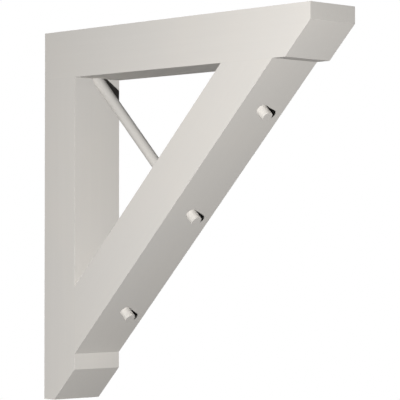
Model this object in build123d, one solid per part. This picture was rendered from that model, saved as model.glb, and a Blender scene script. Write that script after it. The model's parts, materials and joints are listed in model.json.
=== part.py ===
from build123d import *
import math
import os

# Driving dimensions, in millimetres.
# The bracket is as high on the wall as it projects from it.
REACH = 600.0
WIDTH = 95.5
# Depth of the beam, the leg and the brace, all cut from the same board stock.
MEMBER = 76.5
# Upright face left on the beam's end, and the flat left under the leg's foot.
NIB = 25.5
# Width of the flat that sanding leaves on each outer edge, measured along either face.
ARRIS = 0.15

# One dowel size serves the tie rod and the two pegs.
DOWEL_DIAMETER = 17.5
DOWEL_CHAMFER = 0.4
# How far each round end stands out of the brace.
PROUD = 17.5
# Depth of the rod's blind socket, measured from the inside corner.
CORNER_SOCKET = 40.0
# Depth of each peg's blind bore.
PEG_BORE = 50.0
# Distance of each peg from the tie rod, along the brace.
PEG_SPACING = 218.0

# Sizes that follow from the driving dimensions.
END_CUT = MEMBER - NIB
BRACE_TIP = REACH - MEMBER
WINDOW_TIP = REACH - MEMBER * math.sqrt(2) - MEMBER
CORNER_TO_FACE = (REACH - 2 * MEMBER) / math.sqrt(2)

# The side view is drawn from the top edge on the wall: first out from the wall, then up.
# The origin of the part lies on the wall face, at mid-width and half-way up.
side_view = Plane(origin=(0, 0, REACH / 2), x_dir=(0, -1, 0), z_dir=(-1, 0, 0))

# The brace's outer face, with its normal pointing down and away from the wall.
brace_face = Plane(
    origin=(0, -REACH / 2, 0),
    x_dir=(1, 0, 0),
    z_dir=(0, -1, -1),
)


def glued_blank():
    """The beam, leg and brace as glued up and sanded, before the bores are drilled."""
    convex_corners = [
        (0, 0),
        (REACH, 0),
        (REACH, -NIB),
        (REACH - END_CUT, -MEMBER),
        (MEMBER, -(REACH - END_CUT)),
        (NIB, -REACH),
        (0, -REACH),
    ]
    # The brace's outer face runs between the two hollow corners, under the beam and on the leg.
    hollow_corners = [(BRACE_TIP, -MEMBER), (MEMBER, -BRACE_TIP)]
    outline = Polyline(*convex_corners[:4], *hollow_corners, *convex_corners[4:], close=True)
    window = Polyline((MEMBER, -MEMBER), (WINDOW_TIP, -MEMBER), (MEMBER, -WINDOW_TIP), close=True)
    profile = side_view * (make_face(outline) - make_face(window))
    blank = extrude(profile, WIDTH / 2, both=True)

    side_edges = blank.faces().filter_by(Axis.X).edges()
    cross_edges = blank.edges().filter_by(Axis.X)
    outer_edges = [
        cross_edges.sort_by_distance(side_view.from_local_coords((out, up, 0)))[0]
        for out, up in convex_corners
    ]
    return chamfer(side_edges + outer_edges, ARRIS)


def dowel(along, buried):
    """A dowel square to the brace's outer face, its proud end lightly chamfered."""
    rod = Cylinder(
        DOWEL_DIAMETER / 2,
        buried + PROUD,
        align=(Align.CENTER, Align.CENTER, Align.MAX),
    )
    rod = chamfer(rod.edges().filter_by(GeomType.CIRCLE).sort_by(Axis.Z)[-1], DOWEL_CHAMFER)
    return brace_face * Pos(0, along, PROUD) * rod


# Dowels: the rod reaches through the brace to the inside corner, the pegs stop inside the brace.
tie_rod = dowel(0, CORNER_TO_FACE + CORNER_SOCKET)
upper_peg = dowel(PEG_SPACING, PEG_BORE)
lower_peg = dowel(-PEG_SPACING, PEG_BORE)

# Members: the blank is divided where the boards are glued. The beam runs through to the wall,
# the leg butts under it, and the brace fills the corner between them.
blank = glued_blank()
beam_underside = Plane.XY.offset(REACH / 2 - MEMBER)
leg_front = Plane.XZ.offset(MEMBER)
top_beam = split(blank, beam_underside, Keep.TOP)
below_beam = split(blank, beam_underside, Keep.BOTTOM)
wall_leg = split(below_beam, leg_front, Keep.BOTTOM)
diagonal_brace = split(below_beam, leg_front, Keep.TOP)

# Bores: each dowel is glued into a hole of its own size.
top_beam = top_beam - tie_rod
wall_leg = wall_leg - tie_rod
diagonal_brace = diagonal_brace - tie_rod - upper_peg - lower_peg

nodes = {
    "top_beam": top_beam,
    "wall_leg": wall_leg,
    "diagonal_brace": diagonal_brace,
    "tie_rod": tie_rod,
    "upper_peg": upper_peg,
    "lower_peg": lower_peg,
}

os.makedirs("parts", exist_ok=True)
for name, solid in nodes.items():
    export_step(solid, f"parts/{name}.step")
    box = solid.bounding_box()
    print(name, round(solid.volume), "mm3", tuple(box.min), tuple(box.max))
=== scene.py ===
# %% [markdown]
# A triangular wall bracket, dressed for its portrait
#
# The bracket is three boards and three dowels, glued up and painted off-white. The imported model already
# holds every piece at its true size, with its edges eased, so this lesson doesn't model the shape again.
# It loads the pieces as a fixed frame and works on what a camera sees: the view, the light and the paint.
# Lengths are in metres. The wall is the plane Y = 0, the beam reaches out along -Y, and +Z is up.

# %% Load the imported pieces
import json
import math

import bmesh
import bpy
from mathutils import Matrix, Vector


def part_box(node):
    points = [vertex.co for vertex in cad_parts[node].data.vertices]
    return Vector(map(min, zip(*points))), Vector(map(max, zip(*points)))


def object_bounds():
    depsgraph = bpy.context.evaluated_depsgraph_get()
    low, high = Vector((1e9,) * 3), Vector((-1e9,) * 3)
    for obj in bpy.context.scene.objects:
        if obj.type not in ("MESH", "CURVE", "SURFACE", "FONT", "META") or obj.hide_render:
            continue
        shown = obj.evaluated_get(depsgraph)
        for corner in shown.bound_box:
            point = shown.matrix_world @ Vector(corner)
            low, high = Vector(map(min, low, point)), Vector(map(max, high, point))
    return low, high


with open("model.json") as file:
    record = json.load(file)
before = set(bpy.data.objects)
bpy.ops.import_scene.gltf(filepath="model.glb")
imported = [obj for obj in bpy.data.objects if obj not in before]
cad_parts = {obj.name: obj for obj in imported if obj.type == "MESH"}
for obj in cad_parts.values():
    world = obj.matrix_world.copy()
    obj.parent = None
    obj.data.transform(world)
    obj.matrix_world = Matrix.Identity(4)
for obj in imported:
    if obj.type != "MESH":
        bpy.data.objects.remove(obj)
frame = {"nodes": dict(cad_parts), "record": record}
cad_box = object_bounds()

low, high = cad_box
middle = (low + high) / 2
scene = bpy.context.scene
print("pieces:", ", ".join(sorted(frame["nodes"])))
print("whole bracket, in millimetres:", [round(1000 * size) for size in high - low])

# %% [markdown]
# The camera
#
# The portrait is taken from the front and from the bracket's own right-hand side, nearly level and with
# a long lens, so that upright edges stay upright and the far edges shrink only a little. A long lens far
# away and a short lens close by can frame the same thing, but they bend it differently. So the distance
# is settled first, and the lens then only sets how large the picture is. Blender's camera looks down its
# own -Z, so a quarter turn about X levels it, and a turn about Z then swings it towards the bracket.

# %% Place the camera
CAMERA_FROM_SIDE = 2.1329
CAMERA_FROM_WALL = 2.6144
CAMERA_BELOW_TOP = 0.3630
CAMERA_TURN = math.radians(43.5459)
CAMERA_TILT_UP = math.radians(1.5140)
CAMERA_LENS_MM = 184.41
SENSOR_MM = 36.0

camera_data = bpy.data.cameras.new("portrait_camera")
camera_data.sensor_width = SENSOR_MM
camera_data.lens = CAMERA_LENS_MM
camera = bpy.data.objects.new("portrait_camera", camera_data)
camera.location = (low.x - CAMERA_FROM_SIDE, -CAMERA_FROM_WALL, high.z - CAMERA_BELOW_TOP)
camera.rotation_euler = (math.pi / 2 + CAMERA_TILT_UP, 0.0, -CAMERA_TURN)
scene.collection.objects.link(camera)
scene.camera = camera
scene.view_settings.view_transform = "Standard"
print("camera stands at", [round(value, 3) for value in camera.location])

# %% [markdown]
# Small helpers for shader nodes
#
# A material is a little graph: each box is a node, and each wire feeds one node's output to another
# node's socket. Written out, a graph is mostly wiring. So one helper adds a box, labels it by what it
# does for the paint, and takes each socket either as a plain value or as the output that feeds it. A
# socket goes by its name, or by its place in the row where two sockets of a node have the same name.

# %% Node helpers
def add_node(tree, kind, label, sockets=None, **settings):
    """One labelled node. Each socket gets a plain value, or the output that feeds it."""
    node = tree.nodes.new(kind)
    node.label = label
    for name, value in settings.items():
        setattr(node, name, value)
    for name, value in (sockets or {}).items():
        if isinstance(value, bpy.types.NodeSocket):
            tree.links.new(value, node.inputs[name])
        else:
            node.inputs[name].default_value = value
    return node


def calculate(tree, label, operation, first, second=0.0):
    """One step of arithmetic in the graph."""
    return add_node(tree, "ShaderNodeMath", label, {0: first, 1: second}, operation=operation).outputs[0]


def blank_graph(owner):
    """The emptied node tree of a material or a world."""
    owner.use_nodes = True
    owner.node_tree.nodes.clear()
    return owner.node_tree


print("node helpers ready")

# %% [markdown]
# The white page
#
# Trim is usually pictured cut out on white. A white world would do that, but it would also pour light on
# the bracket from every side and wash out its shape. The Light Path node tells the rays that the camera
# sends from the rays that carry light, so the world can look white and still be nearly dark as a lamp.
# Mirrored rays see the white page too, so a matte coat near grazing has something pale to show.

# %% White world with a little fill
WHITE = (1.0, 1.0, 1.0, 1.0)
PAGE_STRENGTH = 1.0
FILL_STRENGTH = 0.005


def page_rays(tree):
    """1 for a ray that shows the page, straight, mirrored or through glass; 0 for a light ray."""
    path = add_node(tree, "ShaderNodeLightPath", "which ray asks").outputs
    shown = calculate(tree, "seen or mirrored", "MAXIMUM", path["Is Camera Ray"], path["Is Glossy Ray"])
    return calculate(tree, "or seen through", "MAXIMUM", shown, path["Is Transmission Ray"])


world = bpy.data.worlds.new("white_studio")
scene.world = world
tree = blank_graph(world)
fill = add_node(tree, "ShaderNodeBackground", "fill light", {"Color": WHITE, "Strength": FILL_STRENGTH})
page = add_node(tree, "ShaderNodeBackground", "white page", {"Color": WHITE, "Strength": PAGE_STRENGTH})
sky = add_node(tree, "ShaderNodeMixShader", "page or fill",
               {"Fac": page_rays(tree), 1: fill.outputs[0], 2: page.outputs[0]})
add_node(tree, "ShaderNodeOutputWorld", "world", {"Surface": sky.outputs[0]})
print("world: white page, fill", FILL_STRENGTH)

# %% [markdown]
# The key lamp
#
# The picture has one main lamp, low on the camera's left. It lights the side of the bracket a little more
# towards the front end, leaves the underside of the beam in half shade, and throws a short hard shadow to
# the right of each peg. A large soft box would be easier to place, but it would blur those shadows away,
# so the lamp is a spot with a radius of two centimetres.

# %% Hang the key lamp
KEY_FROM_SIDE = 1.8375
KEY_FROM_WALL = 1.8125
KEY_BELOW_TOP = 0.590
KEY_WATTS = 292.0
KEY_RADIUS = 0.02
KEY_CONE = math.radians(48)
KEY_EDGE = 0.2


def hang_lamp(name, kind, place, watts):
    """A lamp that points at the middle of the bracket; returns its settings."""
    settings = bpy.data.lights.new(name, kind)
    settings.energy = watts
    lamp = bpy.data.objects.new(name, settings)
    lamp.location = place
    lamp.rotation_euler = (middle - Vector(place)).to_track_quat("-Z", "Y").to_euler()
    scene.collection.objects.link(lamp)
    print(name, "at", [round(value, 3) for value in place])
    return settings


key_place = (low.x - KEY_FROM_SIDE, -KEY_FROM_WALL, high.z - KEY_BELOW_TOP)
key = hang_lamp("key_lamp", "SPOT", key_place, KEY_WATTS)
key.shadow_soft_size = KEY_RADIUS
key.spot_size = KEY_CONE
key.spot_blend = KEY_EDGE

# %% [markdown]
# The soft lamps
#
# Three soft lamps light the sides that the portrait never sees. A brighter world would light them too,
# but it would also fill the hard shadows. So each lamp has a place where it doesn't spill into the
# picture. The back lamp hangs high and straight behind, so that the beam and the leg keep its light out
# of the window between the boards. The side lamp stands straight across from that window, so its rays
# only graze the window's inner faces. The foot lamp is a weak one, low behind the wall, and lights the
# flat under the foot.

# %% Back lamp, side lamp and foot lamp
BACK_BEHIND_WALL = 1.6
BACK_ABOVE_TOP = 1.9
BACK_WATTS = 95.0
BACK_SIZE = 0.4

SIDE_OUT = 4.2
WINDOW_FROM_WALL = 0.156
WINDOW_BELOW_TOP = 0.156
SIDE_WATTS = 100.0
SIDE_SIZE = 0.5

FOOT_BEHIND_WALL = 0.7
FOOT_BELOW = 0.42
FOOT_WATTS = 1.8
FOOT_SIZE = 0.15

back_place = (middle.x, BACK_BEHIND_WALL, high.z + BACK_ABOVE_TOP)
side_place = (high.x + SIDE_OUT, -WINDOW_FROM_WALL, high.z - WINDOW_BELOW_TOP)
foot_place = (middle.x, FOOT_BEHIND_WALL, low.z - FOOT_BELOW)
SOFT_LAMPS = {
    "back_lamp": (back_place, BACK_WATTS, BACK_SIZE),
    "side_lamp": (side_place, SIDE_WATTS, SIDE_SIZE),
    "foot_lamp": (foot_place, FOOT_WATTS, FOOT_SIZE),
}

for name, (place, watts, size) in SOFT_LAMPS.items():
    hang_lamp(name, "AREA", place, watts).size = size

# %% [markdown]
# The floor
#
# The bracket hangs on a wall, so the floor lies well below it and takes the soft shadow of the back
# lamp. A square plane would do, but its corners would show from above. So it is a disc: one ring of
# points, filled with a face.

# %% Lay the floor
FLOOR_BELOW_FOOT = 0.60
FLOOR_RADIUS = 4.0
FLOOR_SIDES = 96

floor_place = Vector((middle.x, middle.y, low.z - FLOOR_BELOW_FOOT))
shape = bmesh.new()
bmesh.ops.create_circle(shape, cap_ends=True, radius=FLOOR_RADIUS, segments=FLOOR_SIDES)
bmesh.ops.translate(shape, verts=shape.verts, vec=floor_place)
floor_mesh = bpy.data.meshes.new("floor")
shape.to_mesh(floor_mesh)
shape.free()
floor = bpy.data.objects.new("floor", floor_mesh)
scene.collection.objects.link(floor)
print("floor lies at", round(floor_place.z, 3))

# %% [markdown]
# The floor's paint
#
# Plain white paint would do for the look of the floor, but a white floor sends light up into the shaded
# underside of the bracket. So the paint is pale where the camera looks and dull where light bounces, by
# the same rays as the page. The rim fades into the page, so no horizon cuts the picture. Seen from below
# the disc is clear, so that it never hides the underside of the bracket.

# %% Paint the floor
FLOOR_FADE_FROM = 1.2
FLOOR_GLOW = 0.62
PALE = (0.45, 0.45, 0.45, 1.0)
DULL = (0.01, 0.01, 0.01, 1.0)

floor_paint = bpy.data.materials.new("pale_floor")
tree = blank_graph(floor_paint)
place = add_node(tree, "ShaderNodeTexCoord", "place").outputs["Object"]
outwards = add_node(tree, "ShaderNodeVectorMath", "from the middle", {0: place, 1: floor_place},
                    operation="DISTANCE")
fade = add_node(tree, "ShaderNodeMapRange", "fade to the rim",
                {"Value": outwards.outputs["Value"], "From Min": FLOOR_FADE_FROM, "From Max": FLOOR_RADIUS},
                interpolation_type="SMOOTHSTEP")
pale = add_node(tree, "ShaderNodeBsdfDiffuse", "pale floor", {"Color": PALE})
glow = add_node(tree, "ShaderNodeEmission", "page under it", {"Color": WHITE, "Strength": FLOOR_GLOW})
rim = add_node(tree, "ShaderNodeEmission", "white page", {"Color": WHITE, "Strength": PAGE_STRENGTH})
lit = add_node(tree, "ShaderNodeAddShader", "page and shadow", {0: pale.outputs[0], 1: glow.outputs[0]})
seen = add_node(tree, "ShaderNodeMixShader", "floor or page",
                {"Fac": fade.outputs[0], 1: lit.outputs[0], 2: rim.outputs[0]})
dull = add_node(tree, "ShaderNodeBsdfDiffuse", "dull for bounced light", {"Color": DULL})
shown = add_node(tree, "ShaderNodeMixShader", "seen or bounced",
                 {"Fac": page_rays(tree), 1: dull.outputs[0], 2: seen.outputs[0]})
below = add_node(tree, "ShaderNodeNewGeometry", "which side").outputs["Backfacing"]
clear = add_node(tree, "ShaderNodeBsdfTransparent", "clear from below")
sides = add_node(tree, "ShaderNodeMixShader", "above or below",
                 {"Fac": below, 1: shown.outputs[0], 2: clear.outputs[0]})
add_node(tree, "ShaderNodeOutputMaterial", "surface", {"Surface": sides.outputs[0]})
floor_mesh.materials.append(floor_paint)
print("floor fades from", FLOOR_FADE_FROM, "to", FLOOR_RADIUS, "metres out")

# %% [markdown]
# Which way a piece runs
#
# A coat goes on along the piece, and its marks follow. So every pattern below is drawn in coordinates
# whose Z runs along the piece. UV maps could hold them, but Object coordinates need no unwrapping and
# don't stretch at a corner. All six pieces lie square to the width, so one turn about X lines up each of
# them: none for the upright leg, a quarter turn for the beam, and an eighth or three for the slanted
# ones. A Mapping node of type Texture takes the centre away first and then undoes that turn.

# %% Lines along each piece
QUARTER = math.pi / 2
TURNS = {
    "wall_leg": 0.0,
    "diagonal_brace": QUARTER / 2,
    "top_beam": QUARTER,
    "tie_rod": QUARTER * 3 / 2,
    "upper_peg": QUARTER * 3 / 2,
    "lower_peg": QUARTER * 3 / 2,
}


def run_direction(piece):
    """The direction along a piece: up the leg, and outwards along the others."""
    return Vector((0.0, -math.sin(TURNS[piece]), math.cos(TURNS[piece])))


def piece_place(tree, piece):
    """Place on a piece, from its middle, with Z along it."""
    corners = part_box(piece)
    place = add_node(tree, "ShaderNodeTexCoord", "place").outputs["Object"]
    turned = add_node(tree, "ShaderNodeMapping", "along the piece",
                      {"Vector": place, "Location": (corners[0] + corners[1]) / 2,
                       "Rotation": (TURNS[piece], 0.0, 0.0)}, vector_type="TEXTURE")
    return turned.outputs[0]


for piece in TURNS:
    print(piece, "runs along", [round(value, 2) for value in run_direction(piece)])

# %% [markdown]
# Marks in the coat
#
# A painted board is never quite even, and an image of real paint could show that, but it would repeat and
# have seams. A noise texture is a cloud of soft blobs that never repeats, and its scale is how many blobs
# fit in a metre. Blobs of ten centimetres make a slow drift of tone, as paint dries a little unevenly.
# The same blobs pressed thin across the piece and drawn out along it are the faint streaks of a brush or
# a roller. Blobs of about a millimetre, used as height, are the fine stipple of sprayed paint. Each is so
# weak that it is felt more than seen, because the real coat is smooth. Most of the noise lies between 0.3
# and 0.7, so that is the range that gets spread when a mark has to run from nothing to all.

# %% Blobs, streaks and stipple
NOISE_DETAIL = 2.0
NOISE_LOW = 0.3
NOISE_HIGH = 0.7
DRIFT_SIZE = 0.11
STREAK_WIDTH = 0.005
STREAK_LENGTH = 0.22
STIPPLE_SIZE = 0.0013


def blobs(tree, label, place, size):
    """Noise from 0 to 1, with blobs of one size."""
    noise = add_node(tree, "ShaderNodeTexNoise", label,
                     {"Vector": place, "Scale": 1 / size, "Detail": NOISE_DETAIL})
    return noise.outputs["Fac"]


def brush_streaks(tree, place):
    """Noise from 0 to 1, with its blobs drawn out along the piece."""
    stretch = (1 / STREAK_WIDTH, 1 / STREAK_WIDTH, 1 / STREAK_LENGTH)
    drawn = add_node(tree, "ShaderNodeMapping", "drawn out", {"Vector": place, "Scale": stretch})
    return blobs(tree, "streaks", drawn.outputs[0], 1.0)


def spread(tree, label, amount, lowest, highest, start=NOISE_LOW, end=NOISE_HIGH):
    """A number from start to end, spread over another range."""
    ranges = {"Value": amount, "From Min": start, "From Max": end, "To Min": lowest, "To Max": highest}
    return add_node(tree, "ShaderNodeMapRange", label, ranges).outputs[0]


print("drift", DRIFT_SIZE, "streaks", STREAK_WIDTH, "by", STREAK_LENGTH, "stipple", STIPPLE_SIZE)

# %% [markdown]
# Glue lines
#
# The boards are glued before they are painted, and a hairline stays where one butts against another. It
# could be a groove in the mesh, but it is thinner than the coat's own stipple. So it is paint: a shade
# darker within a quarter of a millimetre of the plane where the boards meet. Each line belongs to the
# piece whose whole end lies on that plane, and where a dowel enters its bore it becomes a thin ring.

# %% Where the pieces meet
GLUE_WIDTH = 0.00025

beam_low, beam_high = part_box("top_beam")
leg_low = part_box("wall_leg")[0]
brace_low, brace_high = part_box("diagonal_brace")
stock_depth = beam_high.z - beam_low.z
under_beam = (Vector((0.0, 0.0, 1.0)), beam_low.z)
on_leg = (Vector((0.0, 1.0, 0.0)), leg_low.y)
out_of_brace = run_direction("tie_rod")
brace_face = out_of_brace.dot(Vector((0.0, brace_low.y, brace_high.z)))
outer_face = (out_of_brace, brace_face)
inner_face = (out_of_brace, brace_face - stock_depth)

MEETINGS = {
    "top_beam": [],
    "wall_leg": [under_beam],
    "diagonal_brace": [under_beam, on_leg],
    "tie_rod": [outer_face, inner_face],
    "upper_peg": [outer_face],
    "lower_peg": [outer_face],
}


def glue_line(tree, piece):
    """1 on a piece's glue lines, falling to 0 beside them; plain 0 where it has none."""
    line = 0.0
    for direction, height in MEETINGS[piece]:
        place = add_node(tree, "ShaderNodeTexCoord", "place").outputs["Object"]
        along = add_node(tree, "ShaderNodeVectorMath", "towards the joint", {0: place, 1: direction},
                         operation="DOT_PRODUCT")
        gap = calculate(tree, "from the joint", "SUBTRACT", along.outputs["Value"], height)
        gap = calculate(tree, "either side", "ABSOLUTE", gap)
        near = spread(tree, "beside the joint", gap, 1.0, 0.0, 0.0, GLUE_WIDTH)
        line = calculate(tree, "all joints", "MAXIMUM", near, line)
    return line


print("boards are", round(1000 * stock_depth, 1), "mm deep")
print("the brace's outer face lies", round(brace_face, 4), "out along the rod")

# %% [markdown]
# Cut ends
#
# A cut goes through the tiny bubbles of the foam, so the ends of the beam, the leg and the dowels are
# less smooth than their faces. A face is a cut end where its normal points along the piece, which a dot
# product tells: 0 on the long faces, 1 on a square cut and 0.7 on a mitre. The pits could be modelled,
# but there would be thousands of them. So finer blobs are cut off low down, and only small round pits
# are left.

# %% Find the ends and pit them
END_STARTS = 0.35
END_SURE = 0.60
PIT_SIZE = 0.0009
PIT_FROM = 0.30
PIT_TO = 0.44


def cut_end(tree, piece):
    """1 on a piece's cut ends, 0 on its long faces."""
    normal = add_node(tree, "ShaderNodeTexCoord", "place").outputs["Normal"]
    facing = add_node(tree, "ShaderNodeVectorMath", "facing along", {0: normal, 1: run_direction(piece)},
                      operation="DOT_PRODUCT")
    facing = calculate(tree, "either end", "ABSOLUTE", facing.outputs["Value"])
    return spread(tree, "cut end", facing, 0.0, 1.0, END_STARTS, END_SURE)


def end_pits(tree, ends, place):
    """Depth of the pits, 1 in a pit on a cut end and 0 elsewhere."""
    foam = blobs(tree, "foam bubbles", place, PIT_SIZE)
    pits = spread(tree, "open bubbles", foam, 1.0, 0.0, PIT_FROM, PIT_TO)
    return calculate(tree, "only on the ends", "MULTIPLY", pits, ends)


print("pits of about", 1000 * PIT_SIZE, "mm on the cut ends")

# %% [markdown]
# The colour of the coat
#
# The paint is a warm off-white. On the dowels it is a painted shade, a little deeper than on the boards, to
# offset the light that the brace bounces onto them. One flat colour would look lifeless from close by, so
# the colour slides between a warmer and a cooler white with the drift.
# The other marks only make it lighter or darker, so they are added up to one level first and the white is
# multiplied by
# that level: cut ends are painted a touch lighter as painted light, glue lines a little darker, and pits
# darker as painted shade.

# %% Off-white and its marks
WHITES = {
    "boards": ((0.687, 0.658, 0.617, 1.0), (0.673, 0.649, 0.614, 1.0)),
    # Painted shade: the dowels' whites are deeper than the boards' to offset light bounced onto them.
    "dowels": ((0.660, 0.632, 0.592, 1.0), (0.646, 0.623, 0.589, 1.0)),
}
STREAK_SHADE = 0.006
GLUE_SHADE = 0.16
# Painted light: the cut ends are painted this much lighter, to lift their tone.
END_PAINTED_LIGHT = 0.02
# Painted shade: the pits are painted this much darker, as the shade in their hollows.
PIT_PAINTED_SHADE = 0.05

# A Mix node has a set of sockets for each kind of data. These are the places of those for colours.
MIX_AMOUNT = 0
MIX_FIRST = 6
MIX_SECOND = 7
MIX_RESULT = 2


def coat_colour(tree, stock, drift, marks):
    """Off-white that drifts from warm to cool, made lighter or darker by the other marks."""
    warm, cool = WHITES[stock]
    white = add_node(tree, "ShaderNodeMix", "warm to cool",
                     {MIX_AMOUNT: drift, MIX_FIRST: warm, MIX_SECOND: cool}, data_type="RGBA")
    level = 1.0
    for label, mark, change in marks:
        level = add_node(tree, "ShaderNodeMath", label, {0: mark, 1: change, 2: level},
                         operation="MULTIPLY_ADD").outputs[0]
    return add_node(tree, "ShaderNodeVectorMath", "paint colour",
                    {0: white.outputs[MIX_RESULT], "Scale": level}, operation="SCALE").outputs[0]


for stock, (warm, cool) in WHITES.items():
    print(stock, "drift from", warm[:3], "to", cool[:3])

# %% [markdown]
# The relief of the coat
#
# Stipple and pits are a few hundredths of a millimetre high. Displacing the mesh by so little would take
# millions of faces, so they are heights for a Bump node, which only tilts the normal. At full strength
# over a distance of one metre, its heights are in metres too.

# %% Stipple and pits as heights
STIPPLE_HEIGHT = 0.00002
PIT_DEPTH = 0.00006
BUMP_STRENGTH = 1.0
BUMP_DISTANCE = 1.0


def coat_relief(tree, place, pits):
    """The stipple and the pits as one bumpy normal."""
    stipple = blobs(tree, "stipple", place, STIPPLE_SIZE)
    raised = calculate(tree, "stipple height", "MULTIPLY", stipple, STIPPLE_HEIGHT)
    sunk = calculate(tree, "pit depth", "MULTIPLY", pits, PIT_DEPTH)
    height = calculate(tree, "surface", "SUBTRACT", raised, sunk)
    bump = add_node(tree, "ShaderNodeBump", "relief",
                    {"Strength": BUMP_STRENGTH, "Distance": BUMP_DISTANCE, "Height": height})
    return bump.outputs[0]


print("stipple", 1000 * STIPPLE_HEIGHT, "mm high, pits", 1000 * PIT_DEPTH, "mm deep")

# %% [markdown]
# One coat for each piece
#
# All of it comes together in one Principled shader per piece. One shared material would be shorter, but
# each piece has its own direction and its own joints. The streaks go into the roughness too, where a
# brush mark really shows: as a change of sheen when the light rakes it. The coat is matte and its gloss
# is weak and the same everywhere, so the specular level stays a plain value on the shader's own socket.
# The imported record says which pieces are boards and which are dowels.

# %% Paint every piece
SMOOTHEST = 0.8
ROUGHEST = 0.9
GLOSS = 0.06


def paint_piece(piece, stock):
    """The matte coat of one piece."""
    coat = bpy.data.materials.new("coat_" + piece)
    tree = blank_graph(coat)
    place = piece_place(tree, piece)
    drift = spread(tree, "drift", blobs(tree, "drying", place, DRIFT_SIZE), 0.0, 1.0)
    streaks = brush_streaks(tree, place)
    ends = cut_end(tree, piece)
    pits = end_pits(tree, ends, place)
    colour = coat_colour(tree, stock, drift, [
        ("streaks", spread(tree, "light and dark", streaks, -1.0, 1.0), STREAK_SHADE),
        ("glue line", glue_line(tree, piece), -GLUE_SHADE),
        # Painted light: the cut ends are painted a touch lighter.
        ("painted light on the ends", ends, END_PAINTED_LIGHT),
        # Painted shade: the pits are painted darker, as the shade in their hollows.
        ("painted shade in the pits", pits, -PIT_PAINTED_SHADE),
    ])
    shader = add_node(tree, "ShaderNodeBsdfPrincipled", "matte coat", {
        "Base Color": colour,
        "Roughness": spread(tree, "sheen", streaks, SMOOTHEST, ROUGHEST),
        "Specular IOR Level": GLOSS,
        "Normal": coat_relief(tree, place, pits),
    })
    add_node(tree, "ShaderNodeOutputMaterial", "surface", {"Surface": shader.outputs[0]})
    return coat


for subpart in frame["record"]["subparts"]:
    piece = subpart["node"]
    stock = subpart["material_slot"]
    frame["nodes"][piece].material_slots[0].material = paint_piece(piece, stock)
    print("painted", piece, "with the white of the", stock)

# %% [markdown]
# Shadows that stay dark
#
# Beside the rod and behind each peg lies a small shadow that is nearly black, as under one lamp alone. In
# a renderer every lit board lights its neighbours, and in such tight corners that fills the shadows with
# grey. Ray visibility is a switch on each object: with Diffuse off, the piece is seen, lit and shaded as
# before and still casts its shadow, but passes no light on. The dowels and the beam are the nearest to
# those shadows. The leg and the brace keep theirs, so that the window isn't a black hole.

# %% Keep bounced light out of the corners
NO_BOUNCE = ("tie_rod", "upper_peg", "lower_peg", "top_beam")

for piece in NO_BOUNCE:
    frame["nodes"][piece].visible_diffuse = False
    print(piece, "passes no light on")
